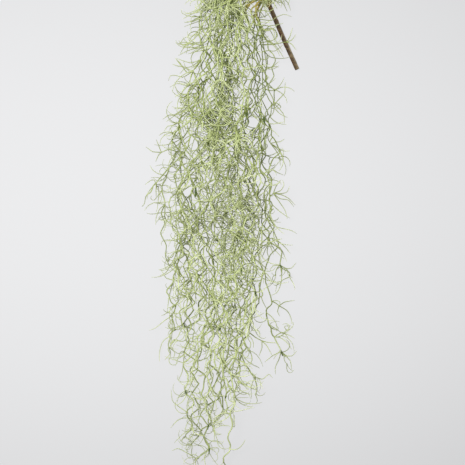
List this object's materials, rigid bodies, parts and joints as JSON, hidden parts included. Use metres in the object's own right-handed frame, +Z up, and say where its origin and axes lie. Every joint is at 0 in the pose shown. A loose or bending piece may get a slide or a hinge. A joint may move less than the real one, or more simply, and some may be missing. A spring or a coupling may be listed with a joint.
{
  "type": "spanish moss bunch",
  "caption": "Trailing bunch of wavy needle-leaved moss strands that arch from the crown of a short brown stick, laid down to drape over a surface as trim.",
  "frame": {"origin": "centre of the bounding box on the surface that the bunch lies on", "axes": "+Y runs from the strands' tips up to the crown, the bunch's length; +X is to the right with the stick on that side; +Z is up from the surface that it lies on"},
  "size_m": [0.2202, 0.7394, 0.0958],
  "materials": {
    "stem_brown": "matt, knobbly, like bark",
    "crown_ochre": "matt, ochre running to olive",
    "moss_green": "matt grey-green with paler leaf tips"
  },
  "bodies": {
    "root": {"stem": "stem_brown", "crown": "crown_ochre", "spray_01": "moss_green", "spray_02": "moss_green", "spray_03": "moss_green", "spray_04": "moss_green", "spray_05": "moss_green", "spray_06": "moss_green", "spray_07": "moss_green", "spray_08": "moss_green", "spray_09": "moss_green", "spray_10": "moss_green", "spray_11": "moss_green", "spray_12": "moss_green"}
  },
  "joints": []
}
